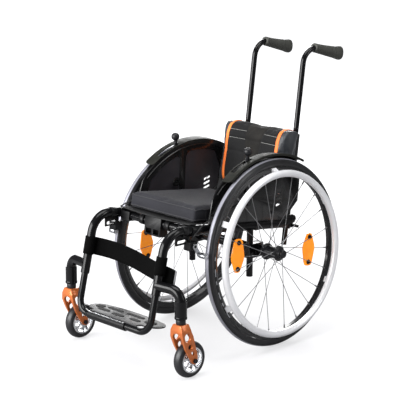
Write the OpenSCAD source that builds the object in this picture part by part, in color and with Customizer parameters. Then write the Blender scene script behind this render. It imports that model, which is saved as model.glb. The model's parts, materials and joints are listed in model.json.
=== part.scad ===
// Rigid-frame active wheelchair, child size, built from separate pieces.
// Millimetres, +Z up. The chair faces -Y and the user's left side is +X.
// The origin is on the floor under the middle of the chair's outline. Modules are
// drawn with y = 0 at the rear axle, and chair() moves them to the origin.

/* [Rear wheels] */
// Outer diameter of the tyre
wheel_d = 540; // [530:1:550]
// Width of the tyre
tyre_w = 25; // [23:1:26]
// Lean of the wheels, top inwards, in degrees
camber = 3.9; // [3:0.1:4]
// Distance of each hub from the chair's centre plane
half_track = 187.5; // [187:0.5:192]
// Diameter of the handrim at the middle of its tube
handrim_d = 460; // [450:1:462]
// Diameter of the handrim's tube
handrim_tube_d = 20; // [16:1:22]
// Distance of the handrim outside the wheel's plane
handrim_offset = 33; // [30:1:36]
// Spokes in each wheel
spoke_count = 24; // [20:4:28]

/* [Casters] */
// Outer diameter of the caster tyre
caster_d = 102; // [98:1:102]
// Width of the caster tyre
caster_w = 28; // [22:1:28]
// Distance of each caster stem from the centre plane
stem_x = 227.5; // [222:0.5:232]
// Distance of the caster stems in front of the rear axle
stem_front = 404; // [400:1:410]
// Distance of the caster's axle behind its stem
trail = 32; // [28:1:34]

/* [Frame] */
// Outer diameter of the main tubes
tube_d = 25; // [25:0.5:26]
// Distance of each side tube from the centre plane
frame_x = 147; // [146:0.5:148]
// Slope of the seat rails, down to the rear, in degrees
rail_slope = 7; // [6:0.5:8]
// Lean of the front legs, in degrees
leg_slope = 13.2; // [12:0.2:14]
// Centre-line radius of the bend between rail and leg
knee_r = 62; // [55:1:66]
// Outer diameter of the footrest tube
foot_tube_d = 19.05; // [19:0.01:19.1]

/* [Seat and back] */
// Width of the seat cushion
cushion_w = 277; // [260:1:278]
// Thickness of the seat cushion
cushion_t = 40; // [34:1:42]
// Length of the seat cushion
cushion_l = 322; // [300:1:324]
// Recline of the back posts, in degrees
recline = 7.2; // [5:0.1:8]
// Distance of each back post from the centre plane
post_x = 97; // [95:0.5:98]
// Width of the back pad
pad_w = 256; // [240:1:258]

/* [Hidden] */
$fn = 64;

// Distance of the rear axle behind the origin
axle_back = 45.35;
// Radial play of a running fit
play = 0.06;
// Gap left between pieces that don't touch
gap = 0.3;
// Length by which a straight run laps into a bend, and how much thinner the bend's wall is
lap = 0.5;
step_d = 0.04;

wheel_r = wheel_d / 2;
tyre_r = tyre_w / 2;
tyre_ring_r = wheel_r - tyre_r;
hub_z = tyre_ring_r * cos(camber) + tyre_r;
rim_r = tyre_ring_r - 9.3;
rim_bed_r = rim_r - 16.2;
handrim_r = handrim_d / 2;
axle_r = 6;
hub_in = -37.5;
hub_out = 33;
bearing_r = 12;
bearing_w = 6;
flange_r = 22;
flange_in = -26;
flange_out = 20;
head_out = 37;
// Crossing spokes leave opposite faces of the flange, this far from its middle
spoke_side = 1.4;

camber_tube_x = 145;
camber_tube_r = 15;
socket_r = 12;
socket_in = 108;
socket_z = hub_z - (half_track - camber_tube_x) * tan(camber);

caster_r = caster_d / 2;
caster_y = -stem_front + trail;
fork_gap = caster_w / 2 + 2.5;
fork_leg = 6;
fork_top = 157;
stem_r = 6;
stem_top = 206;
housing_low = 172;
housing_r = 16.5;
caster_bolt_r = 4;
caster_hub_half = 15;

rail_ref_y = -340;
rail_ref_z = 385;
rail_end_y = 90;
leg_ref_y = -420;
leg_ref_z = 225;
sleeve_low_z = 222;
bore_d = foot_tube_d + 2 * play;
socket_d = 20;
socket_depth = 60;

function rail_z(y) = rail_ref_z - tan(rail_slope) * (y - rail_ref_y);
function leg_y(z) = leg_ref_y + tan(leg_slope) * (z - leg_ref_z);
knee_z = (rail_z(leg_y(0)) ) / (1 + tan(rail_slope) * tan(leg_slope));
knee = [frame_x, leg_y(knee_z), knee_z];
side_path = [
    [frame_x, rail_end_y, rail_z(rail_end_y)], knee, [frame_x, leg_y(sleeve_low_z), sleeve_low_z]
];

foot_z = 117;
foot_top_z = 312;
foot_corner_r = 40;
foot_y = leg_y(foot_z);
clamp_r = 12.5;

arm_z = 248;
arm_d = 28;
arm_bend_r = 34;

pivot_y = 152;
pivot_z = 330;
sleeve_r = 10;
push_r = 8;
push_low = -82;
push_corner = 508;
push_bend_r = 45;
grip_slope = 16;
grip_reach = 148;

post_y = -26;
axle_post_x = 118;
axle_post_r = 9.5;

lever_y = -70;
lever_z = 165;
lever_l = 134;
guard_in = -33;
guard_out = -30;
guard_r = 281;

brake_y = -297;
brake_z = 339;
roller_y = -280.6;
roller_z = 313;
roller_r = 8;

rail_r = tube_d / 2;
sling_low = rail_r + gap;
sling_t = 2.7;

// Brake cable's route on the left side, from the lever's stop to the brake block
cable_route = [
    [150.6, -92, 422], [150.6, -115, 418], [150.8, -140, 414], [151.5, -165, 410],
    [153, -190, 406], [155.5, -215, 402], [158.5, -235, 398], [161.5, -252, 394],
    [164, -268, 388], [165.5, -281, 380], [165, -290, 372], [161.5, -295, 364],
    [157, -297, 357], [155, -297, 351.2],
];

// ---------- shared shapes ----------

function unit(v) = v / norm(v);

function turn(path, i) =
    acos(unit(path[i] - path[i - 1]) * unit(path[i + 1] - path[i]));

function setback(path, i, r) =
    (i == 0 || i == len(path) - 1) ? 0 : r * tan(turn(path, i) / 2);

module chair() translate([0, axle_back, 0]) children();

// Draws its children on the left, or mirrored on the right
module on_side(side) chair() mirror([side == "right" ? 1 : 0, 0, 0]) children();

module both_sides() {
    on_side("left") children();
    on_side("right") children();
}

// Straight round bar from p to q, with an optional bore
module rod(p, q, d, bore = 0) {
    u = unit(q - p);
    h = norm(q - p);
    translate(p) rotate([0, acos(u.z), atan2(u.y, u.x)]) difference() {
        cylinder(h = h, d = d);
        if (bore > 0) translate([0, 0, -1]) cylinder(h = h + 2, d = bore);
    }
}

// Part of a ring that joins two straight runs, tangent to both
module elbow(path, i, r, d, bore) {
    u = unit(path[i] - path[i - 1]);
    v = unit(path[i + 1] - path[i]);
    n = unit(v - u * (u * v));
    w = cross(-n, u);
    c = path[i] - u * setback(path, i, r) + n * r;
    multmatrix([
        [-n.x, u.x, w.x, c.x], [-n.y, u.y, w.y, c.y], [-n.z, u.z, w.z, c.z], [0, 0, 0, 1]
    ]) rotate_extrude(angle = turn(path, i)) translate([r, 0]) difference() {
        circle(d = d - step_d);
        if (bore > 0) circle(d = bore + step_d);
    }
}

// Round bar or pipe along a path with bends of radius r
module bent_bar(path, r, d, bore = 0) {
    last = len(path) - 1;
    for (i = [0 : last - 1]) {
        u = unit(path[i + 1] - path[i]);
        from = i == 0 ? 0 : setback(path, i, r) - lap;
        to = i + 1 == last ? 0 : setback(path, i + 1, r) - lap;
        rod(path[i] + u * from, path[i + 1] - u * to, d, bore);
    }
    if (len(path) > 2) for (i = [1 : len(path) - 2]) elbow(path, i, r, d, bore);
}

// Upright outline drawn in [y, z], with thickness along x from x0 to x1
module slab(x0, x1) translate([x0, 0, 0]) rotate([90, 0, 90]) linear_extrude(x1 - x0) children();

// Round bar along x
module x_bar(x0, x1, r) translate([x0, 0, 0]) rotate([0, 90, 0]) cylinder(h = x1 - x0, r = r);

// Slot with round ends, length l over all
module slot(l, w) {
    square([l - w, w], center = true);
    for (s = [-1, 1]) translate([s * (l - w) / 2, 0]) circle(d = w);
}

// Closed solid that sweeps an outline of side and up offsets along a route
module sweep(route, outline) {
    n = len(outline);
    m = len(route);
    points = [
        for (i = [0 : m - 1])
            let (t = unit(route[min(i + 1, m - 1)] - route[max(i - 1, 0)]),
                 side = unit(cross(t, [0, 0, 1])), up = cross(side, t))
            for (p = outline) route[i] + side * p.x + up * p.y
    ];
    faces = concat(
        [[for (j = [0 : n - 1]) j]],
        [[for (j = [n - 1 : -1 : 0]) (m - 1) * n + j]],
        [for (i = [0 : m - 2], j = [0 : n - 1])
            [i * n + j, (i + 1) * n + j, (i + 1) * n + (j + 1) % n, i * n + (j + 1) % n]]
    );
    polyhedron(points, faces, convexity = 4);
}

// ---------- rear wheels, drawn with x out along the axle ----------

module wheel_space() translate([half_track, 0, hub_z]) rotate([0, -camber, 0]) children();

module turned() rotate([0, 90, 0]) rotate_extrude() children();

// Turns children about the axle, 0 at the rear and 90 at the top
module at_clock(a) rotate([a - 90, 0, 0]) children();

module tyre() color("#1b1b1d") wheel_space() turned() difference() {
    translate([tyre_ring_r, 0]) circle(r = tyre_r);
    translate([0, -tyre_w]) square([rim_r, 2 * tyre_w]);
}

module rim() color("#101011") wheel_space() turned() difference() {
    polygon([
        [rim_r, -9], [rim_r, 9], [rim_r - 7, 9.5], [rim_bed_r, 5], [rim_bed_r, -5],
        [rim_r - 7, -9.5]
    ]);
    polygon([
        [rim_r - 2, -7], [rim_r - 2, 7], [rim_r - 7, 7.4], [rim_bed_r + 2, 3.6],
        [rim_bed_r + 2, -3.6], [rim_r - 7, -7.4]
    ]);
}

function on_wheel(x, r, a) = [x, r * cos(a), r * sin(a)];

// Crossed spokes, with the reflector in the middle of a pair at the front
module spokes(front_clock) color("silver") wheel_space() {
    step = 360 / spoke_count;
    start = front_clock - 9 * step;
    for (i = [0 : spoke_count - 1]) {
        out = i % 2 == 0;
        way = floor(i / 2) % 2 == 0 ? 1 : -1;
        a = start + i * step;
        hub_end = on_wheel((out ? flange_out : flange_in) + way * spoke_side,
            flange_r - 3, a + way * 2.25 * step);
        rim_end = on_wheel(out ? 2 : -2, rim_bed_r + 1, a);
        rod(hub_end, rim_end, 2);
        rod(rim_end + unit(hub_end - rim_end) * 12, rim_end, 4.2);
    }
}

module hub() color("#151516") wheel_space() turned() difference() {
    polygon([
        [0, hub_in], [16.5, hub_in], [16.5, hub_in + 3.5], [flange_r + 2, flange_in - 1.5],
        [flange_r + 2, flange_in + 1.5], [18, flange_in + 5], [17, -8], [15.5, 8],
        [17, flange_out - 4], [flange_r, flange_out - 1.5], [flange_r, flange_out + 1.5],
        [14.5, flange_out + 4], [13.7, hub_out], [0, hub_out]
    ]);
    translate([0, hub_in - 1]) square([8, hub_out - hub_in + 2]);
    translate([0, hub_in - 1]) square([bearing_r, bearing_w + 2]);
    translate([0, hub_out - bearing_w - 1]) square([bearing_r, bearing_w + 2]);
}

module hub_bearings() color("#b9bcc0") wheel_space() {
    for (x = [hub_in + 1, hub_out - bearing_w - 1]) difference() {
        x_bar(x, x + bearing_w, bearing_r);
        x_bar(x - 1, x + bearing_w + 1, axle_r + play);
    }
}

module handrim() color("#e6e7ea") wheel_space() {
    translate([handrim_offset, 0, 0]) turned() translate([handrim_r, 0]) circle(d = handrim_tube_d);
    difference() {
        for (a = [30 : 60 : 330]) at_clock(a) translate([0, 8, 0]) rotate([90, 0, 0])
            linear_extrude(16) polygon([
                [9.8, rim_r - 15], [9.8, rim_r - 3], [12.2, rim_r - 3],
                [handrim_offset, handrim_r], [handrim_offset - 4, handrim_r - 6]
            ]);
        translate([handrim_offset, 0, 0]) turned() translate([handrim_r, 0])
            circle(d = handrim_tube_d - 0.6);
    }
}

// Distance of the reflectors from the axle, and where on the clock each wheel's front one is
reflector_r = 148;
left_front = 173;
right_front = 189;

module reflector() {
    slab(-1.5, 1.5) polygon([
        [-8, -46], [8, -46], [15, -34], [22, 4], [11, 36], [7, 45], [-7, 45], [-11, 36],
        [-22, 4], [-15, -34]
    ]);
    for (z = [-37, 37]) translate([0, 0, z]) x_bar(-4, 10.5, 7);
}

module reflectors(front_clock) color("#ff8a00") wheel_space()
    for (turn_by = [0, 180]) rotate([front_clock + turn_by, 0, 0])
        translate([0, reflector_r, 0]) reflector();

module wheel_axle() color("#9a9da1") wheel_space() difference() {
    union() {
        x_bar(-72, hub_out + gap, axle_r);
        x_bar(hub_out + gap, head_out, 10.5);
    }
    x_bar(22, head_out + 1, 4 + play);
}

module axle_button() color("#2a2a2c") wheel_space() x_bar(28, head_out + 2.5, 4);

// ---------- axle tube and its posts ----------

module axle_socket() color("#4a4c50") difference() {
    translate([0, 0, socket_z]) {
        x_bar(socket_in, camber_tube_x, socket_r);
        x_bar(camber_tube_x, camber_tube_x + 3, camber_tube_r);
    }
    wheel_space() x_bar(-100, -30, axle_r + play);
}

module camber_tube() color("#161617") chair() translate([0, 0, socket_z]) difference() {
    x_bar(-camber_tube_x, camber_tube_x, camber_tube_r);
    x_bar(-camber_tube_x - 1, camber_tube_x + 1, socket_r);
}

module axle_post() color("#161617") difference() {
    union() {
        translate([axle_post_x, post_y, 190]) cylinder(h = 164, r = axle_post_r);
        translate([axle_post_x - 12, post_y - 12, socket_z - 21]) cube([24, 56, 42]);
        translate([axle_post_x - 12, post_y - 12, 334]) cube([46, 24, 22]);
    }
    translate([axle_post_x, post_y, 189]) cylinder(h = 170, r = 7.5);
    translate([0, 0, socket_z]) x_bar(0, camber_tube_x, camber_tube_r);
    rod(side_path[0], side_path[1], tube_d);
}

// ---------- casters ----------

module caster_space() translate([stem_x, caster_y, caster_r]) children();

module caster_tyre() color("#1c1c1e") caster_space() turned() intersection() {
    translate([caster_r - 20, 0]) circle(r = 20);
    translate([caster_r - 15, -caster_w / 2]) square([20, caster_w]);
}

module caster_wheel() color("#d4d6da") caster_space() difference() {
    union() {
        turned() translate([caster_r - 19, -12]) square([4, 24]);
        x_bar(-caster_hub_half, caster_hub_half, 13.5);
        for (a = [0 : 72 : 288]) rotate([a, 0, 0])
            translate([-5, -3.5, 11]) cube([10, 7, caster_r - 29]);
    }
    x_bar(-20, 20, 6);
    for (s = [-1, 1]) translate([s * (caster_hub_half - 3), 0, 0]) x_bar(-4, 4, 11);
}

module caster_bearings() color("#b9bcc0") caster_space()
    for (s = [-1, 1]) translate([s * (caster_hub_half - 3.5), 0, 0]) difference() {
        x_bar(-3.5, 3.5, 11);
        x_bar(-4, 4, caster_bolt_r + play);
    }

// Outline of the fork from the front: a crown that splits into two legs
module fork_front() difference() {
    polygon([
        [-15, fork_top], [15, fork_top], [22, 142], [25, 124], [24, 100], [22.5, 84],
        [22.5, 36], [-22.5, 36], [-22.5, 84], [-24, 100], [-25, 124], [-22, 142]
    ]);
    translate([-fork_gap, 0]) square([2 * fork_gap, 117]);
    translate([0, 117]) circle(r = fork_gap);
}

// Outline of a fork leg from the side, in [y, z] from the stem
module fork_side() difference() {
    union() {
        polygon([
            [-15, fork_top], [-17, 140], [-15, 120], [-4, 92], [10, 66], [trail - 9, caster_r - 5],
            [trail + 9, caster_r - 4], [trail + 10, caster_r + 12], [trail + 4, 84],
            [trail - 3, 104], [trail - 8, 122], [18, 138], [15, fork_top]
        ]);
        translate([trail, caster_r]) circle(r = 10);
    }
    translate([3, 122]) rotate(-68) slot(26, 20);
    translate([14, 94]) rotate(-66) slot(18, 15);
    translate([24, 74]) rotate(-64) slot(13, 8);
}

module caster_fork() color("#e2652a") difference() {
    union() {
        intersection() {
            translate([stem_x, -stem_front + 60, 0]) rotate([90, 0, 0])
                linear_extrude(120) fork_front();
            translate([0, -stem_front, 0]) slab(stem_x - 40, stem_x + 40) fork_side();
        }
        translate([stem_x, -stem_front, fork_top - 1]) cylinder(h = stem_top - fork_top + 1, r = stem_r);
        translate([stem_x, -stem_front, fork_top - 1]) cylinder(h = housing_low - fork_top, r = 10);
    }
    caster_space() x_bar(-40, 40, caster_bolt_r + play);
}

module caster_bolt() color("#222224") caster_space() {
    x_bar(-fork_gap - fork_leg - 4, fork_gap + fork_leg + 4, caster_bolt_r);
    for (s = [-1, 1]) translate([s * (fork_gap + fork_leg + 2), 0, 0]) x_bar(-2, 2, 6.5);
}

module stem_bearings() color("#b9bcc0") both_sides()
    for (z = [housing_low + 2, stem_top - 9]) translate([stem_x, -stem_front, z]) difference() {
        cylinder(h = 8, r = 13);
        translate([0, 0, -1]) cylinder(h = 10, r = stem_r + play);
    }

// ---------- frame ----------

module side_tube() color("#131314") difference() {
    bent_bar(side_path, knee_r, tube_d, bore_d);
    rod(side_path[0] + unit(side_path[0] - side_path[1]),
        side_path[0] + unit(side_path[1] - side_path[0]) * socket_depth, socket_d);
}

module caster_arm() color("#131314") difference() {
    union() {
        bent_bar([
            [frame_x, leg_y(arm_z), arm_z], [stem_x, -stem_front, arm_z],
            [stem_x, -stem_front, housing_low + 30]
        ], arm_bend_r, arm_d);
        translate([stem_x, -stem_front, housing_low]) cylinder(h = 50, r = housing_r);
    }
    rod(side_path[1], [frame_x, leg_y(150), 150], tube_d);
    translate([stem_x, -stem_front, housing_low - 1]) cylinder(h = stem_top - housing_low + 2, r = 13);
}

// Seat frame of reference: y back along the rails, z up from their centre line
module seat_space() translate([0, rail_ref_y, rail_ref_z]) rotate([-rail_slope, 0, 0]) children();

cross_y = 60;
cross_z = -6;
cross_r = 11;

module seat_cross_tube() color("#161617") chair() seat_space() difference() {
    translate([0, cross_y, cross_z]) x_bar(-frame_x, frame_x, cross_r);
    translate([0, cross_y, cross_z]) x_bar(-frame_x, frame_x, cross_r - 2.5);
    for (s = [-1, 1]) translate([s * frame_x, 0, 0]) rotate([-90, 0, 0]) cylinder(h = 120, r = rail_r);
}

module cross_tube_clamps() color("#1d1d1f") chair() seat_space() difference() {
    union() {
        for (s = [-1, 1]) {
            translate([s * frame_x, cross_y - 14, 0]) rotate([-90, 0, 0]) cylinder(h = 28, r = rail_r + 3.5);
            translate([s * 117 - 17, cross_y - 14, cross_z - 14]) cube([34, 28, 26]);
        }
        translate([-32, cross_y - 15, cross_z - 36]) cube([64, 30, 52]);
        for (s = [-1, 1]) translate([s * 52, cross_y, cross_z]) x_bar(-8, 8, cross_r + 3.5);
    }
    translate([0, cross_y, cross_z]) x_bar(-frame_x, frame_x, cross_r);
    for (s = [-1, 1]) {
        translate([s * frame_x, 0, 0]) rotate([-90, 0, 0]) cylinder(h = 120, r = rail_r);
        translate([s * 15 - 11, cross_y - 20, cross_z - 32]) cube([22, 40, 15]);
    }
    translate([-frame_x - 30, cross_y - 20, rail_r - 1]) cube([2 * frame_x + 60, 40, 10]);
}

// ---------- seat ----------

module seat_sling() color("#1a1a1c") chair() seat_space()
    translate([-140.5, 48, sling_low]) cube([281, 350, sling_t]);

module seat_cushion() color("#2b2b30") chair() seat_space()
    translate([-cushion_w / 2, 74, sling_low + sling_t + gap])
        cube([cushion_w, cushion_l, cushion_t]);

strap_z = 300;
strap_h = 50;
strap_t = 3;
strap_sag = 38;
strap_reach = frame_x - 8;

function strap_curve(t, off) = [strap_reach * t, 12.5 + off + strap_sag * (1 - t * t)];

// Webbing that goes round both legs, extruded along the legs
module calf_strap() color("#0e0e0f") chair() translate([0, leg_y(strap_z), strap_z])
    rotate([-leg_slope, 0, 0]) translate([0, 0, -strap_h / 2]) linear_extrude(strap_h) difference() {
        union() {
            for (s = [-1, 1]) translate([s * frame_x, 0]) circle(r = rail_r + strap_t);
            polygon(concat(
                [for (t = [-1 : 0.1 : 1]) strap_curve(t, 0)],
                [for (t = [1 : -0.1 : -1]) strap_curve(t, strap_t)]
            ));
        }
        for (s = [-1, 1]) translate([s * frame_x, 0]) circle(r = rail_r);
    }

// ---------- side guards ----------

// Lower edge of the guard in the wheel's frame, just above the rail
function guard_low(y) = rail_z(y) + rail_r + 2.6 - hub_z;

module guard_outline() difference() {
    polygon(concat(
        [[-226, guard_low(-226)], [-213, 160], [-204, 187]],
        [for (a = [132 : -2 : 62]) guard_r * [cos(a), sin(a)]],
        [[148, 214], [151, 183], [140, 125], [100, 94], [80, guard_low(80)]]
    ));
    for (i = [0 : 2]) translate([60, 128 + 14 * i]) rotate(14) slot(26, 6.5);
}

// Shallow panels moulded into the guard's inner face
module guard_pockets() {
    polygon(concat(
        [[-168, 122], [-182, 150]], [for (a = [133 : -3 : 106]) 252 * [cos(a), sin(a)]],
        [[-58, 234], [-54, 122]]
    ));
    polygon(concat(
        [[-34, 118], [-34, 238], [-26, 248]], [for (a = [94 : -3 : 70]) 252 * [cos(a), sin(a)]],
        [[112, 184], [104, 130], [84, 118]]
    ));
}

module side_guard() color("#0d0d0e") wheel_space() difference() {
    union() {
        difference() {
            slab(guard_in, guard_out) guard_outline();
            slab(guard_in - 1, guard_in + 1.3) guard_pockets();
        }
        translate([0, lever_y, lever_z]) x_bar(guard_in - 3, guard_out + 2, 13);
        translate([0, lever_y, lever_z]) x_bar(guard_out, -21, 4);
    }
    translate([0, lever_y, lever_z]) x_bar(guard_in - 4, guard_in, 6);
}

fender_rear = 61;
fender_front = 126;
fender_out = 3;

// Waste outside a rounded corner of the fender's front end
module fender_corner(x, s) at_clock(fender_front) translate([x, 0, guard_r - 6]) difference() {
    translate([s > 0 ? -12 : -1, -1, 0]) cube([13, 13, 14]);
    translate([-12 * s, 12, -1]) cylinder(h = 16, r = 12.6);
}

module fender() color("#19191b") wheel_space() difference() {
    rotate([0, 90, 0]) rotate([0, 0, 90 + fender_rear])
        rotate_extrude(angle = fender_front - fender_rear) union() {
            translate([guard_r + 0.2, guard_in]) square([2.6, fender_out - guard_in]);
            translate([guard_r - 4, fender_out - 2]) square([5, 2]);
        }
    translate([-28.5, lever_y - 64, 235]) cube([14.5, 74, 60]);
    fender_corner(fender_out, 1);
    fender_corner(guard_in, -1);
}

module guard_lug(y) color("#1d1d1f") difference() {
    translate([frame_x - 6, y - 9, rail_z(y) + 5]) cube([5.2, 18, 26]);
    rod(side_path[0], side_path[1], tube_d);
    wheel_space() translate([guard_in - 0.05, -300, -100]) cube([20, 600, 500]);
}

// ---------- brakes ----------

module brake_mount() color("#1b1b1d") difference() {
    union() {
        translate([frame_x, -318, rail_z(-318)]) rotate([-rail_slope, 0, 0])
            translate([0, -9, 0]) rotate([-90, 0, 0]) cylinder(h = 18, r = rail_r + 1.6);
        slab(frame_x - 4, frame_x) polygon([
            [-346, 344], [-296, 344], [-296, 368], [-308, 378], [-332, 380], [-346, 372]
        ]);
        translate([frame_x - 6, -311, 327]) cube([26, 27, 24]);
        translate([0, brake_y, brake_z]) x_bar(frame_x - 6, frame_x + 26, 4);
    }
    rod(side_path[0], side_path[1], tube_d);
    slab(frame_x - 10, frame_x + 4) translate([-324, 353]) slot(34, 9);
}

module brake_arm() color("#a3a5a9") {
    difference() {
        slab(frame_x + 21, frame_x + 25) {
            translate([brake_y, brake_z]) circle(r = 8);
            translate([roller_y, roller_z]) circle(r = 6);
            a = atan2(roller_z - brake_z, roller_y - brake_y);
            translate([brake_y, brake_z]) rotate(a)
                translate([0, -5.5]) square([norm([roller_z - brake_z, roller_y - brake_y]), 11]);
        }
        translate([0, brake_y, brake_z]) x_bar(0, 300, 4 + play);
    }
    translate([0, roller_y, roller_z]) {
        x_bar(frame_x + 25, frame_x + 27, 4);
        x_bar(frame_x + 27, frame_x + 49, roller_r);
    }
}

module brake_lever() color("#202022") wheel_space() translate([0, lever_y, lever_z]) {
    difference() {
        slab(-26, -22) {
            circle(r = 10);
            translate([-7, -20]) square([14, 136]);
        }
        x_bar(-40, 0, 4 + play);
    }
    translate([-22.5, 0, 108]) cylinder(h = lever_l - 112, r = 5);
    translate([-20, 0, lever_l]) sphere(r = 12);
}

module brake_cable() color("#0f0f10")
    sweep(cable_route, [for (a = [22.5 : 45 : 360]) 2 * [cos(a), sin(a)]]);

// ---------- back ----------

module back_bracket() color("#1b1b1d") difference() {
    union() {
        slab(116, 122) polygon([
            [48, 324], [48, 343], [88, 344], [150, 344], [162, 338], [166, 328], [160, 319],
            [148, 316], [90, 318]
        ]);
        translate([116, 50, 324]) cube([24, 36, 19]);
        translate([0, pivot_y, pivot_z]) x_bar(106.5, 122, 5);
    }
    rod(side_path[0] + 20 * unit(side_path[0] - side_path[1]), side_path[1], tube_d);
}

// Back frame of reference: z up along the posts from the fold pivot
module back_space() translate([0, pivot_y, pivot_z]) rotate([-recline, 0, 0]) children();

module back_frame() color("#141415") chair() back_space() difference() {
    union() {
        for (s = [-1, 1]) {
            translate([s * post_x, 0, -22]) cylinder(h = 252, r = sleeve_r);
            translate([s * post_x, 0, 0]) x_bar(s > 0 ? 4 : -18.6, s > 0 ? 18.6 : -4, 11);
        }
        translate([0, 0, 48]) x_bar(-post_x, post_x, 8);
    }
    for (s = [-1, 1]) {
        translate([s * post_x, 0, -30]) cylinder(h = 300, r = push_r + play);
        x_bar(s > 0 ? 106 : -125, s > 0 ? 125 : -106, 5 + play);
    }
}

module back_sling() color("#19191b") chair() back_space()
    translate([-125, -sleeve_r - 3.3, 36]) cube([250, 3, 212]);

module back_pad() color("#202023") chair() back_space() slab(-pad_w / 2, pad_w / 2) polygon([
    [-13.6, 70], [-56, 70], [-76, 78], [-83, 92], [-73, 170], [-58, 248], [-50, 257],
    [-40, 260], [-13.6, 260]
]);

module handle_clamps() color("#232325") chair() back_space() for (s = [-1, 1]) difference() {
    union() {
        translate([s * post_x, 0, -32]) cylinder(h = 18, r = sleeve_r + 4);
        translate([s * post_x - 5, 8, -31]) cube([10, 18, 16]);
        translate([s * (post_x + 5) - (s > 0 ? 0 : 24), 18, -27]) cube([24, 7, 8]);
    }
    translate([s * post_x, 0, -50]) cylinder(h = 60, r = push_r + 0.5);
    translate([s * post_x, 0, -22]) cylinder(h = 60, r = sleeve_r);
}

push_path = [
    [post_x, 0, push_low], [post_x, 0, push_corner],
    [post_x + 6, 0, push_corner] + grip_reach * [0.03, cos(grip_slope - recline), -sin(grip_slope - recline)]
];

module push_tube() color("#141415") back_space() bent_bar(push_path, push_bend_r, 2 * push_r, 12);

module push_grip() color("#1f1f20") back_space() difference() {
    along = unit(push_path[2] - push_path[1]);
    start = push_path[1] + along * (setback(push_path, 1, push_bend_r) - 14);
    union() {
        rod(start, push_path[2] + along * 5, 31);
        translate(push_path[2] + along * -8 + [0, 0, -8]) sphere(r = 17);
    }
    bent_bar(push_path, push_bend_r, 2 * push_r);
}

// ---------- footrest ----------

foot_path = [
    [frame_x, leg_y(foot_top_z), foot_top_z], [frame_x, foot_y, foot_z],
    [-frame_x, foot_y, foot_z], [-frame_x, leg_y(foot_top_z), foot_top_z]
];

module foot_tube() color("#151516") chair() bent_bar(foot_path, foot_corner_r, foot_tube_d, 15);

plate_slope = 6;
plate_low = 10;
plate_t = 4;
clamp_left = -97;
clamp_right = 55;

module plate_space() translate([0, foot_y, foot_z]) rotate([-plate_slope, 0, 0]) children();

module plate_half() {
    polygon([
        [0, -2], [95, -2], [98, 16], [120, 19], [120, 82], [62, 92], [0, 95]
    ]);
    translate([112, 50]) circle(r = 32);
}

module footplate() color("#5b5d61") chair() plate_space()
    translate([0, 0, plate_low]) linear_extrude(plate_t) {
        plate_half();
        mirror([1, 0]) plate_half();
    }

module footplate_clamp() color("#161617") chair() plate_space() difference() {
    x_bar(clamp_left, clamp_right, clamp_r);
    x_bar(clamp_left - 1, clamp_right + 1, foot_tube_d / 2 + play);
    translate([clamp_left - 1, -20, plate_low]) cube([clamp_right - clamp_left + 2, 40, 10]);
}

// ---------- nodes ----------

on_side("left") tyre();  // left_tyre
on_side("right") tyre();  // right_tyre
on_side("left") rim();  // left_rim
on_side("right") rim();  // right_rim
on_side("left") spokes(left_front);  // left_spokes
on_side("right") spokes(right_front);  // right_spokes
on_side("left") hub();  // left_hub
on_side("right") hub();  // right_hub
on_side("left") hub_bearings();  // left_hub_bearings
on_side("right") hub_bearings();  // right_hub_bearings
on_side("left") handrim();  // left_handrim
on_side("right") handrim();  // right_handrim
on_side("left") reflectors(left_front);  // left_reflectors
on_side("right") reflectors(right_front);  // right_reflectors
on_side("left") axle_button();  // left_axle_button
on_side("right") axle_button();  // right_axle_button
both_sides() wheel_axle();  // wheel_axles
both_sides() axle_socket();  // axle_sockets
camber_tube();
both_sides() axle_post();  // axle_posts
on_side("left") caster_tyre();  // left_caster_tyre
on_side("right") caster_tyre();  // right_caster_tyre
on_side("left") caster_wheel();  // left_caster_wheel
on_side("right") caster_wheel();  // right_caster_wheel
on_side("left") caster_bearings();  // left_caster_bearings
on_side("right") caster_bearings();  // right_caster_bearings
on_side("left") caster_fork();  // left_caster_fork
on_side("right") caster_fork();  // right_caster_fork
on_side("left") caster_bolt();  // left_caster_bolt
on_side("right") caster_bolt();  // right_caster_bolt
stem_bearings();
on_side("left") side_tube();  // left_side_tube
on_side("right") side_tube();  // right_side_tube
both_sides() caster_arm();  // caster_arms
seat_cross_tube();
cross_tube_clamps();
seat_sling();
seat_cushion();
both_sides() side_guard();  // side_guards
both_sides() fender();  // fenders
calf_strap();
both_sides() for (y = [-180, -10]) guard_lug(y);  // guard_lugs
both_sides() brake_mount();  // brake_mounts
both_sides() brake_cable();  // brake_cables
on_side("left") brake_lever();  // left_brake_lever
on_side("right") brake_lever();  // right_brake_lever
on_side("left") brake_arm();  // left_brake_arm
on_side("right") brake_arm();  // right_brake_arm
both_sides() back_bracket();  // back_brackets
back_frame();
back_sling();
back_pad();
handle_clamps();
on_side("left") push_tube();  // left_push_tube
on_side("right") push_tube();  // right_push_tube
on_side("left") push_grip();  // left_push_grip
on_side("right") push_grip();  // right_push_grip
foot_tube();
footplate();
footplate_clamp();
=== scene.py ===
"""Looks of the child-size active wheelchair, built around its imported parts. Metres, +Z up."""

import json
import math

import bmesh
import bpy
from mathutils import Matrix, Vector
from mathutils.bvhtree import BVHTree


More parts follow.
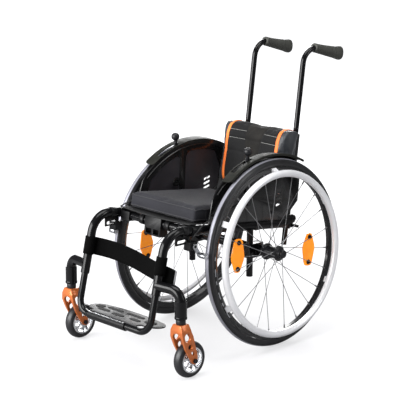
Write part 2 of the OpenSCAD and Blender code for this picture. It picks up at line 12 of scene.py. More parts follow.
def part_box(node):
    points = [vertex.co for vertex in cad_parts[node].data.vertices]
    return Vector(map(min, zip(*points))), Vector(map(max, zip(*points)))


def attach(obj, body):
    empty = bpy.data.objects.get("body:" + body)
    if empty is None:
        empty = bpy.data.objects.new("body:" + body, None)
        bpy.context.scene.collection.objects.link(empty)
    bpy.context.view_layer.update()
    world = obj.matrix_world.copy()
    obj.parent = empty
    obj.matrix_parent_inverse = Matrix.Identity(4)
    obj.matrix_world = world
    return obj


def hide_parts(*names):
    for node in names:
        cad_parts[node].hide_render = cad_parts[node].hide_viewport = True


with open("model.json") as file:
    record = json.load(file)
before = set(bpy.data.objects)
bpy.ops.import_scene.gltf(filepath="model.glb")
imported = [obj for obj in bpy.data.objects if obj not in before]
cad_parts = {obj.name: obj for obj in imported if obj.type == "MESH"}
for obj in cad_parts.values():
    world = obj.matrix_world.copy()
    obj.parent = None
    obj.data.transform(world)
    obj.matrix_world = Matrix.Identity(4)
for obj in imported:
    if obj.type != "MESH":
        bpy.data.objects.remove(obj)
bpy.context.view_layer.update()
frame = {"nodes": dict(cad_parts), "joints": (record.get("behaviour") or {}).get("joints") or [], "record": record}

MM = 0.001
JOINTS = {j["name"]: j for j in frame["joints"]}
MOUNTS = {m["name"]: m for m in frame["record"]["mounts"]}
SIDES = ("left", "right")


def axes(origin, x, y, z):
    """The matrix that takes local millimetres to the row frame, from an origin and three unit axes."""
    turn = Matrix((Vector(x), Vector(y), Vector(z))).transposed().to_4x4()
    return Matrix.Translation(Vector(origin)) @ turn @ Matrix.Scale(MM, 4)


def upright(origin, up):
    """Local axes that lean back with up, and keep x across the chair."""
    up = Vector(up).normalized()
    return axes(origin, (1, 0, 0), up.cross((1, 0, 0)), up)


AXLE = Vector(JOINTS["left_wheel_spin"]["pos_m"])
LEAN = Vector(JOINTS["left_wheel_spin"]["axis"])
WHEEL = axes(AXLE, LEAN, (0, 1, 0), LEAN.cross((0, 1, 0)))
BACK = upright(JOINTS["back_fold"]["pos_m"], JOINTS["left_handle_height"]["axis"])
LEG = upright(JOINTS["footplate_angle"]["pos_m"], JOINTS["footrest_height"]["axis"])
RAIL_DOWN = Vector(MOUNTS["left_rail_socket"]["axis"])
RAIL_X = MOUNTS["left_rail_socket"]["pos_m"][0] / MM
SEAT = axes((0, AXLE.y - 0.340, 0.385), (1, 0, 0), RAIL_DOWN, Vector((1, 0, 0)).cross(RAIL_DOWN))
CASTER = Vector(JOINTS["left_caster_spin"]["pos_m"])
CASTER_SPACE = axes(CASTER, (1, 0, 0), (0, 1, 0), (0, 0, 1))
CHAIR = axes((0, AXLE.y, 0), (1, 0, 0), (0, 1, 0), (0, 0, 1))
PLATE_SLOPE = math.radians(6)
PLATE = axes(LEG.translation, (1, 0, 0), (0, math.cos(PLATE_SLOPE), -math.sin(PLATE_SLOPE)),
             (0, math.sin(PLATE_SLOPE), math.cos(PLATE_SLOPE)))
MIRROR = Matrix.Scale(-1, 4, (1, 0, 0))
UP = Vector((0, 0, 1))


# ---------- camera, floor and light ----------

def aim(obj, target, roll=0.0):
    look = (Vector(target) - obj.location).to_track_quat("-Z", "Y").to_matrix().to_4x4()
    obj.rotation_euler = (look @ Matrix.Rotation(roll, 4, "Z")).to_euler()


def camera():
    """A long lens from the chair's front left, a little above the seat."""
    azimuth, elevation, distance = math.radians(45.48), math.radians(13.72), 4.118
    target = Vector((0.111, AXLE.y - 0.221, 0.4465))
    data = bpy.data.cameras.new("camera")
    data.sensor_width, data.lens = 36, 134.4
    obj = bpy.data.objects.new("camera", data)
    bpy.context.scene.collection.objects.link(obj)
    flat = math.cos(elevation)
    obj.location = target + distance * Vector(
        (math.sin(azimuth) * flat, -math.cos(azimuth) * flat, math.sin(elevation)))
    aim(obj, target, math.radians(0.41))
    bpy.context.scene.camera = obj


def softbox(name, at, size, watts):
    """A rectangular area light that points at the seat."""
    data = bpy.data.lights.new(name, "AREA")
    data.shape, data.size, data.size_y, data.energy = "RECTANGLE", size[0], size[1], watts
    obj = bpy.data.objects.new(name, data)
    bpy.context.scene.collection.objects.link(obj)
    obj.location = at
    aim(obj, (0, 0, 0.35))


def studio():
    """Soft boxes in a white room. Gloss sees the room dimmer than the camera does, as with black flags."""
    world = bpy.data.worlds.new("studio")
    world.use_nodes = True
    tree = world.node_tree
    ray = node(tree, "LightPath").outputs
    strength = math_node(tree, "MULTIPLY", ray["Is Diffuse Ray"], 0.36)
    strength = math_node(tree, "ADD", strength, math_node(tree, "MULTIPLY", ray["Is Camera Ray"], 0.85))
    strength = math_node(tree, "ADD", strength, 0.2)
    sky = tree.nodes["Background"].inputs
    sky["Color"].default_value = (0.97, 0.98, 1.0, 1)
    tree.links.new(strength, sky["Strength"])
    bpy.context.scene.world = world
    bpy.context.scene.view_settings.view_transform = "Standard"
    softbox("overhead", (0.3, -0.2, 3.2), (2.6, 1.5), 60)
    softbox("front", (-0.9, -3.4, 1.5), (4.0, 2.2), 280)
    softbox("right", (3.3, 1.6, 1.9), (0.7, 2.2), 25)
    softbox("behind", (-2.6, 2.6, 1.5), (2.2, 1.8), 90)
    bm = bmesh.new()
    bmesh.ops.create_circle(bm, cap_ends=True, radius=40, segments=64)
    mesh = bpy.data.meshes.new("floor")
    bm.to_mesh(mesh)
    floor = bpy.data.objects.new("floor", mesh)
    bpy.context.scene.collection.objects.link(floor)
    floor.location.z = -0.0004
    paper = finish("paper_floor", (0.3, 0.3, 0.305), 0.7, spread=0.01, patch=1.5, specular=0.1)
    tree = paper.node_tree
    away = node(tree, "VectorMath", {0: node(tree, "TexCoord").outputs["Object"]}, operation="LENGTH")
    glow = node(tree, "MapRange", {"Value": away.outputs["Value"], "From Min": 0.8, "From Max": 4.5,
                                   "To Min": 0.6, "To Max": 1.0}).outputs["Result"]
    seen = node(tree, "LightPath").outputs["Is Camera Ray"]
    shader = tree.nodes["Principled BSDF"].inputs
    shader["Emission Color"].default_value = (0.99, 0.99, 1.0, 1)
    tree.links.new(math_node(tree, "MULTIPLY", seen, glow), shader["Emission Strength"])
    mesh.materials.append(paper)


# ---------- finishes ----------

def node(tree, kind, inputs=None, **settings):
    """Adds a shader node. An input is a value or another node's output."""
    made = tree.nodes.new("ShaderNode" + kind)
    for key, value in settings.items():
        setattr(made, key, value)
    for key, value in (inputs or {}).items():
        if isinstance(value, bpy.types.NodeSocket):
            tree.links.new(value, made.inputs[key])
        else:
            made.inputs[key].default_value = value
    return made


def math_node(tree, operation, first, second):
    return node(tree, "Math", {0: first, 1: second}, operation=operation).outputs[0]


def wave(tree, place, direction, pitch):
    """Ridges across one axis, a pitch apart in millimetres."""
    scale = math.pi / 10 / (pitch * MM)
    return node(tree, "TexWave", {"Vector": place, "Scale": scale, "Distortion": 0.0},
                bands_direction=direction, wave_profile="SIN").outputs["Fac"]


def speckle(pitch):
    """Fine random grain, a pitch across in millimetres."""
    def height(tree, place):
        grain = {"Vector": place, "Scale": 1 / (pitch * MM), "Detail": 2.0}
        return node(tree, "TexNoise", grain).outputs["Fac"]
    return height


def weave(pitch):
    """Crossed threads that show on faces of any direction."""
    def height(tree, place):
        total = math_node(tree, "ADD", wave(tree, place, "X", pitch), wave(tree, place, "Y", pitch))
        return math_node(tree, "ADD", total, wave(tree, place, "Z", pitch))
    return height


def pebbles(pitch):
    """Small raised cells, as on moulded rubber and spacer mesh."""
    def height(tree, place):
        return node(tree, "TexVoronoi", {"Vector": place, "Scale": 1 / (pitch * MM)}).outputs["Distance"]
    return height


def ribs(direction, pitch):
    """Parallel ridges across one direction."""
    def height(tree, place):
        return wave(tree, place, direction, pitch)
    return height


ROUGH_SPREAD = 0.06


def finish(name, colour, rough, metal=0.0, spread=0.2, patch=14.0, grain=None, depth=0.0,
           stretch=(1, 1, 1), coat=0.0, sheen=0.0, specular=0.5, tone=None, glow=0.0):
    """A material whose colour and gloss vary a little over the surface, with a grain in relief and perhaps a
    painted glow.
    """
    material = bpy.data.materials.new(name)
    material.use_nodes = True
    tree = material.node_tree
    shader = tree.nodes["Principled BSDF"]
    object_place = node(tree, "TexCoord").outputs["Object"]
    place = node(tree, "Mapping", {"Vector": object_place, "Scale": stretch}).outputs["Vector"]
    cloud = node(tree, "TexNoise", {"Vector": place, "Scale": patch, "Detail": 4.0}).outputs["Fac"]
    ramp = node(tree, "ValToRGB", {"Fac": cloud})
    low, high = ramp.color_ramp.elements
    low.position, high.position = 0.3, 0.7
    low.color = [c * (1 - spread) for c in colour] + [1]
    high.color = [c * (1 + spread) for c in (tone or colour)] + [1]
    tree.links.new(ramp.outputs["Color"], shader.inputs["Base Color"])
    fine = node(tree, "TexNoise", {"Vector": place, "Scale": patch * 7, "Detail": 3.0}).outputs["Fac"]
    gloss = node(tree, "MapRange", {"Value": fine, "To Min": max(0.02, rough - ROUGH_SPREAD),
                                    "To Max": rough + ROUGH_SPREAD})
    tree.links.new(gloss.outputs["Result"], shader.inputs["Roughness"])
    if grain:
        bump = node(tree, "Bump", {"Height": grain(tree, place), "Strength": 1.0, "Distance": depth * MM})
        tree.links.new(bump.outputs["Normal"], shader.inputs["Normal"])
    shader.inputs["Metallic"].default_value = metal
    shader.inputs["Coat Weight"].default_value = coat
    shader.inputs["Coat Roughness"].default_value = 0.06
    shader.inputs["Sheen Weight"].default_value = sheen
    shader.inputs["Sheen Roughness"].default_value = 0.4
    shader.inputs["Specular IOR Level"].default_value = specular
    # A glow is painted light: the surface gives off light in its own colour, though it is no lamp.
    shader.inputs["Emission Color"].default_value = (*colour, 1)
    shader.inputs["Emission Strength"].default_value = glow
    return material


FINISHES = {
    "frame": finish("gloss_black_paint", (0.003, 0.003, 0.0035), 0.2, grain=speckle(1.6), depth=0.008,
                    coat=0.12, specular=0.22),
    "bracket": finish("satin_black_alloy", (0.005, 0.005, 0.0055), 0.36, grain=speckle(0.7), depth=0.02,
                      specular=0.22),
    "steel": finish("grey_steel", (0.5, 0.51, 0.53), 0.28, 1.0, grain=speckle(0.5), depth=0.01,
                    stretch=(1, 1, 6)),
    "dark_steel": finish("black_zinc", (0.035, 0.035, 0.038), 0.3, 0.8, grain=speckle(0.5), depth=0.02),
    "spoke": finish("stainless_wire", (0.34, 0.34, 0.35), 0.3, 0.9, spread=0.1),
    "alloy": finish("bright_machined_alloy", (0.86, 0.87, 0.89), 0.2, 1.0, spread=0.08,
                    grain=speckle(0.4), depth=0.006),
    "handrim": finish("silver_anodised", (0.93, 0.93, 0.95), 0.32, 0.35, spread=0.05,
                      grain=speckle(0.4), depth=0.006),
    "orange_alloy": finish("orange_anodised", (0.52, 0.13, 0.03), 0.3, 0.4, spread=0.1, coat=0.2,
                           tone=(0.58, 0.155, 0.036), grain=speckle(0.5), depth=0.01),
    "rim": finish("black_anodised_rim", (0.014, 0.014, 0.015), 0.24, grain=speckle(0.6), depth=0.008,
                  coat=0.3),
    "plastic": finish("black_moulding", (0.01, 0.01, 0.012), 0.4, grain=speckle(0.8), depth=0.03,
                      specular=0.35),
    "guard": finish("gloss_black_moulding", (0.006, 0.006, 0.006), 0.24, grain=speckle(2.0), depth=0.01,
                    coat=0.15),
    "guard_panel": finish("satin_guard_panel", (0.03, 0.027, 0.032), 0.42, grain=speckle(0.9),
                          depth=0.04),
    "fender": finish("satin_fender", (0.012, 0.0125, 0.0095), 0.55, grain=speckle(0.8), depth=0.03,
                     specular=0.22),
    "tyre": finish("black_tyre_rubber", (0.009, 0.009, 0.01), 0.36, grain=speckle(1.2), depth=0.02, coat=0.2,
                   tone=(0.013, 0.013, 0.015), specular=0.35),
    # The tread band's light grey, with a touch of metal, is a painted highlight along the tyre's crown, lighter
    # than the black rubber.
    "tread": finish("tread_band_painted_highlight", (0.27, 0.27, 0.31), 0.4, 0.3, grain=ribs("DIAGONAL", 2.2),
                    depth=0.05, spread=0.08),
    "caster_tyre": finish("black_polyurethane", (0.011, 0.011, 0.013), 0.4, grain=speckle(1.0),
                          depth=0.04),
    "grip": finish("textured_rubber", (0.036, 0.037, 0.031), 0.62, grain=pebbles(1.6), depth=0.3),
    "cable": finish("cable_sleeve", (0.012, 0.012, 0.012), 0.45, grain=speckle(0.6), depth=0.02),
    "cushion": finish("charcoal_stretch_knit", (0.011, 0.011, 0.014), 0.74, grain=weave(1.3), depth=0.12,
                      patch=5.0, sheen=0.07, tone=(0.015, 0.015, 0.02), specular=0.3),
    "mesh": finish("black_spacer_mesh", (0.009, 0.0085, 0.008), 0.8, grain=pebbles(2.4), depth=0.55,
                   sheen=0.05, specular=0.2, tone=(0.016, 0.0145, 0.0125)),
    "pad": finish("black_pad_cloth", (0.007, 0.007, 0.0075), 0.75, grain=weave(1.2), depth=0.12,
                  sheen=0.05, specular=0.22),
    "wing": finish("coated_side_cloth", (0.022, 0.025, 0.03), 0.4, grain=weave(1.5), depth=0.08,
                   sheen=0.1),
    "webbing": finish("black_hook_webbing", (0.0018, 0.0018, 0.0018), 0.9, grain=ribs("Z", 1.6), depth=0.3,
                      specular=0.06),
    "nylon": finish("black_sling_nylon", (0.006, 0.006, 0.0065), 0.65, grain=weave(1.6), depth=0.16),
    "piping": finish("charcoal_piping", (0.022, 0.022, 0.026), 0.6, grain=weave(0.8), depth=0.08),
    "orange_tape": finish("orange_tape", (0.86, 0.17, 0.02), 0.6, spread=0.1, grain=ribs("Z", 1.4),
                          depth=0.12, tone=(0.92, 0.22, 0.035), sheen=0.1),
    "thread": finish("grey_thread", (0.36, 0.36, 0.34), 0.6, grain=ribs("X", 0.8), depth=0.1),
    "grey_tape": finish("grey_edge_tape", (0.2, 0.2, 0.21), 0.6, grain=weave(1.0), depth=0.1),
    # The reflector's glow is painted light: it gives off orange light of its own, though it is no lamp.
    "reflector": finish("orange_reflector", (1.0, 0.27, 0.002), 0.22, spread=0.05, patch=40, coat=0.3,
                        grain=pebbles(2.6), depth=0.35, tone=(1.0, 0.33, 0.003), glow=0.42),
    "plate": finish("grey_anodised_plate", (0.014, 0.014, 0.0155), 0.48, 0.1, grain=speckle(0.6), depth=0.02,
                    stretch=(0.3, 1, 1)),
    "grip_pad": finish("anti_slip_pad", (0.016, 0.016, 0.016), 0.8, grain=pebbles(1.2), depth=0.3),
    "stripe": finish("silver_trim", (0.62, 0.63, 0.66), 0.3, 0.6, spread=0.1),
}


# ---------- making pieces ----------

def dress(obj, material):
    """Gives a carried-over node its finish."""
    obj.data.materials.clear()
    obj.data.materials.append(FINISHES[material])


def piece(name, bm, material, body, slot=None, stands_for=(), bevel=0.0, levels=0, thick=0.0,
          sharp=35, extra=()):
    """Turns a bmesh in the row frame into a smooth piece that rides on a body."""
    mesh = bpy.data.meshes.new(name)
    limit = math.radians(sharp)
    for face in bm.faces:
        face.smooth = True
    if not bevel and not levels:
        for edge in bm.edges:
            edge.smooth = not (len(edge.link_faces) == 2 and edge.calc_face_angle(0) > limit)
    bm.to_mesh(mesh)
    bm.free()
    obj = bpy.data.objects.new(name, mesh)
    bpy.context.scene.collection.objects.link(obj)
    for key in (material, *extra):
        mesh.materials.append(FINISHES[key])
    if thick:
        wall = obj.modifiers.new("wall", "SOLIDIFY")
        wall.thickness, wall.offset = thick * MM, 0
    if bevel:
        edge = obj.modifiers.new("edges", "BEVEL")
        edge.width, edge.segments, edge.angle_limit = bevel * MM, 2, limit
        edge.use_clamp_overlap, edge.harden_normals = True, True
    if levels:
        soft = obj.modifiers.new("soft", "SUBSURF")
        soft.levels = soft.render_levels = levels
    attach(obj, body)
    if stands_for:
        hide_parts(*stands_for)
    return obj


def mirrored(bm):
    """A copy of bm on the chair's other side."""
    twin = bm.copy()
    bmesh.ops.transform(twin, matrix=MIRROR, verts=twin.verts)
    bmesh.ops.reverse_faces(twin, faces=twin.faces)
    return twin


def pair(name, bm, material, body, stands_for=None, **settings):
    """The same piece on both sides. {} in a body or a node's name is the side."""
    for side, shape in zip(SIDES, (bm, mirrored(bm))):
        nodes = (stands_for.format(side),) if stands_for else ()
        piece(side + "_" + name, shape, material, body.format(side), stands_for=nodes, **settings)


def solid_of(*parts):
    """One bmesh from several."""
    whole = bmesh.new()
    for part in parts:
        scratch = bpy.data.meshes.new("scratch")
        part.to_mesh(scratch)
        part.free()
        whole.from_mesh(scratch)
        bpy.data.meshes.remove(scratch)
    return whole


def moved(bm, matrix):
    bmesh.ops.transform(bm, matrix=matrix, verts=bm.verts)
    return bm


def lathe(profile, steps, closed=True):
    """A ring spun about local x from (x, radius) points."""
    bm = bmesh.new()
    verts = [bm.verts.new((x, 0, r)) for x, r in profile]
    pairs = list(zip(verts, verts[1:])) + ([(verts[-1], verts[0])] if closed else [])
    edges = [bm.edges.new(p) for p in pairs]
    bmesh.ops.spin(bm, geom=verts + edges, axis=(1, 0, 0), cent=(0, 0, 0), steps=steps,
                   angle=math.tau, use_merge=True)
    bmesh.ops.remove_doubles(bm, verts=bm.verts, dist=1e-4)
    bmesh.ops.recalc_face_normals(bm, faces=bm.faces)
    return bm


def arc(radius, first, last, step, centre=(0, 0)):
    """Points on an arc, from one angle in degrees to another."""
    count = max(1, int(abs(last - first) / step))
    turns = [math.radians(first + (last - first) * k / count) for k in range(count + 1)]
    return [(centre[0] + radius * math.cos(a), centre[1] + radius * math.sin(a)) for a in turns]


def plate(outline, x0, x1):
    """A flat plate from (y, z) points, from x0 to x1."""
    bm = bmesh.new()
    face = bm.faces.new([bm.verts.new((x0, y, z)) for y, z in outline])
    grown = bmesh.ops.extrude_face_region(bm, geom=[face])["geom"]
    bmesh.ops.translate(bm, vec=(x1 - x0, 0, 0),
                        verts=[g for g in grown if isinstance(g, bmesh.types.BMVert)])
    bmesh.ops.recalc_face_normals(bm, faces=bm.faces)
    return bm


def lying(bm):
    """Turns a plate drawn in (y, z) so that it lies flat, with its outline in (x, y)."""
    return moved(bm, Matrix(((0, 1, 0, 0), (0, 0, 1, 0), (1, 0, 0, 0), (0, 0, 0, 1))))


def disc(x0, x1, radius, round_off=0.5, steps=24, hollow=0.0):
    """A round head along local x, with eased rims and perhaps a hollow in its outer face."""
    rim = [(x0, 0), (x0, radius), (x1 - round_off, radius), (x1, radius - round_off)]
    if hollow:
        rim += [(x1, hollow), (x1 - hollow * 0.7, hollow * 0.9), (x1 - hollow * 0.7, 0)]
    else:
        rim += [(x1, 0)]
    return lathe(rim, steps, closed=False)


def line_of(points, radius, sides=8):
    """A round cord along points."""
    bm = bmesh.new()
    rings = []
    for i, at in enumerate(points):
        along = (points[min(i + 1, len(points) - 1)] - points[max(i - 1, 0)]).normalized()
        side = along.cross((0, 0, 1) if abs(along.z) < 0.9 else (0, 1, 0)).normalized()
        up = side.cross(along)
        rings.append([bm.verts.new(at + radius * (side * math.cos(a) + up * math.sin(a)))
                      for a in (math.tau * k / sides for k in range(sides))])
    for ring, after in zip(rings, rings[1:]):
        for k in range(sides):
            j = (k + 1) % sides
            bm.faces.new((ring[k], ring[j], after[j], after[k]))
    bm.faces.new(rings[0][::-1])
    bm.faces.new(rings[-1])
    bmesh.ops.recalc_face_normals(bm, faces=bm.faces)
    return bm


def ribbon(points, across, width, rows):
    """An open strip along points, with its width in the direction of across."""
    bm = bmesh.new()
    lines = [[bm.verts.new(at + across * width * (k / rows - 0.5)) for k in range(rows + 1)]
             for at in points]
    for a, b in zip(lines, lines[1:]):
        for k in range(rows):
            bm.faces.new((a[k], b[k], b[k + 1], a[k + 1]))
    return bm


def merged_copy(node_name):
    """A node's shape with its loose triangles joined into whole faces."""
    bm = bmesh.new()
    bm.from_mesh(frame["nodes"][node_name].data)
    bmesh.ops.remove_doubles(bm, verts=bm.verts, dist=2e-5)
    bmesh.ops.dissolve_limit(bm, angle_limit=math.radians(0.6), verts=bm.verts, edges=bm.edges)
    return bm


def body_of(node_name):
    """The body that carries a node."""
    for body, nodes in frame["record"]["behaviour"]["bodies"].items():
        if node_name in nodes:
            return body
    raise ValueError(node_name)


# ---------- rear wheels ----------

TYRE_RING = 257.5
TYRE_R = 12.5
RIM_R = TYRE_RING - 9.3
GROOVE_ANGLES = (33, 51)
GROOVE_DEPTH = 0.8
SIDE_BEAD_ANGLE = 78
SIDE_BEAD_HEIGHT = 0.35
# The tread band is a painted highlight, set further onto the outer side, where the light falls along the crown.
HIGHLIGHT_BAND_INNER, HIGHLIGHT_BAND_OUTER = -0.36 * TYRE_R, 0.52 * TYRE_R


def rear_tyres():
    """Tyres with four grooves, a bead on each wall and a painted highlight band along the tread."""
    profile = []
    for angle in range(-132, 133, 3):
        reach = TYRE_R
        if any(abs(abs(angle) - groove) < 2 for groove in GROOVE_ANGLES):
            reach -= GROOVE_DEPTH
        if abs(abs(angle) - SIDE_BEAD_ANGLE) < 2:
            reach += SIDE_BEAD_HEIGHT
        turn = math.radians(angle)
        profile.append((reach * math.sin(turn), TYRE_RING + reach * math.cos(turn)))
    bm = lathe(profile, 180)
    for face in bm.faces:
        at = face.calc_center_median()
        # Faces inside the band take the painted highlight finish.
        if math.hypot(at.y, at.z) > TYRE_RING and HIGHLIGHT_BAND_INNER < at.x < HIGHLIGHT_BAND_OUTER:
            face.material_index = 1
    pair("tyre_tread", moved(bm, WHEEL), "tyre", "{}_wheel", "{}_tyre", slot="tyre", sharp=60,
         extra=("tread",))


def rim_trim():
    """Generic dashes in silver on the outer side of each rim."""
    parts = []
    for start in (160, 340):
        for dash in range(6):
            first, length = start + 12 + dash * 8, 5 if dash % 2 else 2.5
            bm = bmesh.new()
            ends = []
            for step in range(5):
                a = math.radians(first + length * step / 4)
                ends.append([bm.verts.new((x, r * math.cos(a), r * math.sin(a)))
                             for x, r in ((9.2, RIM_R - 2.2), (9.45, RIM_R - 4.8))])
            for (a, b), (c, d) in zip(ends, ends[1:]):
                bm.faces.new((a, b, d, c))
            parts.append(bm)
    pair("rim_trim", moved(solid_of(*parts), WHEEL), "stripe", "{}_wheel", slot="handrim", thick=0.5)


REFLECTOR_R = 148
FRONT_CLOCK = {"left": 173, "right": 189}


def reflectors():
    """Two spoke reflectors in each wheel, each with two clips."""
    half = [(0, -48), (8, -47.5), (13, -45), (17, -37), (22, -14), (25.5, 2), (24, 12), (17.5, 28),
            (13, 39), (8.5, 46.5), (0, 48)]
    outline = half + [(-y, z) for y, z in half[-2:0:-1]]
    for side in SIDES:
        plates, clips, pegs = [], [], []
        for half_turn in (0, 180):
            turn = Matrix.Rotation(math.radians(FRONT_CLOCK[side] + half_turn), 4, "X")
            place = WHEEL @ turn @ Matrix.Translation((0, REFLECTOR_R, 0))
            plates.append(moved(plate(outline, -1.5, 2.5), place))
            for z in (-37, 37):
                at = place @ Matrix.Translation((0, 0, z))
                clips.append(moved(disc(-3.6, 5.2, 7.2, 1.2), at))
                pegs.append(moved(disc(4.8, 10.6, 3.2, 0.8), at))
        shapes = [solid_of(*plates), solid_of(*clips, *pegs)]
        if side == "right":
            shapes = [mirrored(s) for s in shapes]
        body = side + "_wheel"
        piece(side + "_reflector_plates", shapes[0], "reflector", body, "reflector",
              (side + "_reflectors",), bevel=0.8)
        piece(side + "_reflector_clips", shapes[1], "plastic", body, "button")


def hub_caps():
    """The stepped cap round each quick-release button."""
    cap = lathe([(32.9, 6), (36, 12), (39.3, 11.2), (40.2, 9.5), (40.2, 5), (38.4, 4.4), (33, 4.4)], 40)
    pair("hub_cap", moved(cap, WHEEL), "plastic", "frame", slot="button")


# ---------- casters ----------

CROWN_R = 20
CROWN_RING = 31


def caster_tyres():
    """Caster tyres with a round crown and eased shoulders."""
    profile = [(-11.6, 36), (-13.4, 37), (-14, 40), (-13.9, 43.5)]
    profile += [(x, CROWN_RING + math.sqrt(CROWN_R ** 2 - x * x) - max(0, abs(x) - 11) * 0.15)
                for x in range(-13, 14, 2)]
    profile += [(13.9, 43.5), (14, 40), (13.4, 37), (11.6, 36)]
    pair("caster_tread", moved(lathe(profile, 72), CASTER_SPACE), "caster_tyre", "{}_caster",
         "{}_caster_tyre", slot="caster_tyre", sharp=60)


def caster_details():
    """Rim lips, bolt heads, and the collar and the housing's lip round each stem."""
    ring = lathe([(11.8, 31.2), (13.4, 31.4), (14.2, 33), (14.2, 35.4), (13.2, 36.4), (11.8, 36.4)], 72)
    lips = moved(solid_of(mirrored(ring), ring), CASTER_SPACE)
    pair("caster_rim_lips", lips, "alloy", "{}_caster", slot="caster_wheel")
    head = disc(22.5, 27.2, 6.4, 0.8, hollow=2.4)
    heads = moved(solid_of(mirrored(head), head), CASTER_SPACE)
    pair("caster_axle_heads", heads, "dark_steel", "{}_fork", slot="bolt")
    stem = Vector(JOINTS["left_caster_swivel"]["pos_m"])
    around_stem = Matrix.Translation((stem.x, stem.y, 0)) @ Matrix.Rotation(-math.pi / 2, 4, "Y") \
        @ Matrix.Scale(MM, 4)
    collar = lathe([(157.2, 10), (157.2, 12.6), (160, 13.4), (169.5, 13.4), (171, 12.4), (171, 10)], 40)
    pair("stem_collar", moved(collar, around_stem), "plastic", "{}_fork", slot="button")
    lip = lathe([(171.6, 12.8), (171.6, 16.6), (173, 17.2), (177, 17.2), (178.4, 16.4), (178.4, 13.6)], 48)
    pair("stem_housing_lip", moved(lip, around_stem), "frame", "frame", slot="frame")


# ---------- screws ----------

def screws():
    """Socket-head screws on the clamps, brackets and guards, built on the left and mirrored."""
    spots = [
        (CHAIR, (122, 62, 331), 4.4, "frame"), (CHAIR, (122, 80, 331), 4.4, "frame"),
        (CHAIR, (122.2, 152, 330), 6.2, "frame"),
        (CHAIR, (130, -14, 262), 4, "frame"), (CHAIR, (130, 20, 262), 4, "frame"),
        (CHAIR, (147, -318, 366), 4, "frame"),
        (WHEEL, (-30, -205, 140), 4.6, "frame"), (WHEEL, (-30, 30, 108), 4.6, "frame"),
        (WHEEL, (-30, -160, 112), 4.6, "frame"), (WHEEL, (-22, -70, 165), 7, "{}_brake_hand_lever"),
        (WHEEL, (-22, -70, 212), 3.6, "{}_brake_hand_lever"),
    ]
    by_body = {}
    for space, at, radius, body in spots:
        head = disc(-0.2, 2.2, radius, 0.6, 20, hollow=radius * 0.45)
        by_body.setdefault(body, []).append(moved(head, space @ Matrix.Translation(at)))
    for body, heads in by_body.items():
        label = "frame_screws" if body == "frame" else "lever_screws"
        pair(label, solid_of(*heads), "dark_steel", body, slot="bolt")


# ---------- soft parts ----------

def blown(bm, voxel, cap, name, pressure=4.0):
    """A closed shape as stuffed cloth: remeshed and blown up a little, with its moves capped."""
    mesh = bpy.data.meshes.new(name)
    bm.to_mesh(mesh)
    bm.free()
    obj = bpy.data.objects.new(name, mesh)
    bpy.context.scene.collection.objects.link(obj)
    remesh = obj.modifiers.new("remesh", "REMESH")
    remesh.mode, remesh.voxel_size = "VOXEL", voxel * MM
    shape = bpy.data.meshes.new_from_object(obj.evaluated_get(bpy.context.evaluated_depsgraph_get()))
    obj.modifiers.clear()
    obj.data = shape
    bpy.data.meshes.remove(mesh)
    rest = [v.co.copy() for v in shape.vertices]
    cloth = obj.modifiers.new("cloth", "CLOTH")
    cloth.settings.use_pressure = True
    cloth.settings.uniform_pressure_force = pressure
    cloth.settings.effector_weights.gravity = 0
    for tick in range(1, 21):
        bpy.context.scene.frame_set(tick)
    puffed = obj.evaluated_get(bpy.context.evaluated_depsgraph_get()).data.vertices
    for vert, start, blown_vert in zip(shape.vertices, rest, puffed):
        step = blown_vert.co - start
        vert.co = start + step * min(1, cap * MM / max(step.length, 1e-9))
    obj.modifiers.remove(cloth)
    bpy.context.scene.frame_set(1)
    bm = bmesh.new()
    bm.from_mesh(shape)
    bpy.data.objects.remove(obj)
    return bm


def on_surface(tree, points, lift):
    """Each point moved to the nearest place on a shape, and lifted a little off it."""
    found = []
    for point in points:
        at, normal, _, _ = tree.find_nearest(point)
        found.append(at + normal * lift * MM)
    return found


def rounded_rectangle(half_x, y0, y1, z, radius, step=9):
    """Points round a rectangle with arcs at its corners, a step apart on the straights."""
    points = []
    corners = [(half_x - radius, y1 - radius, 0), (-half_x + radius, y1 - radius, 90),
               (-half_x + radius, y0 + radius, 180), (half_x - radius, y0 + radius, 270)]
    for (x, y, first), (nx, ny, _) in zip(corners, corners[1:] + corners[:1]):
        corner = arc(radius, first, first + 90, 15, (x, y))
        points += corner
        end, begin = Vector(corner[-1]), Vector(arc(radius, first + 90, first + 90, 15, (nx, ny))[0])
        count = int((begin - end).length / step)
        points += [tuple(end.lerp(begin, k / count)) for k in range(1, count)]
    return [Vector((x, y, z)) for x, y in points]


CUSHION = {"half": 140, "front": 66, "back": 396, "low": 16.1, "high": 61}


def smooth(bm):
    """One pass that evens out the remeshed surface."""
    bmesh.ops.smooth_vert(bm, verts=bm.verts, factor=0.5, use_axis_x=True, use_axis_y=True, use_axis_z=True)


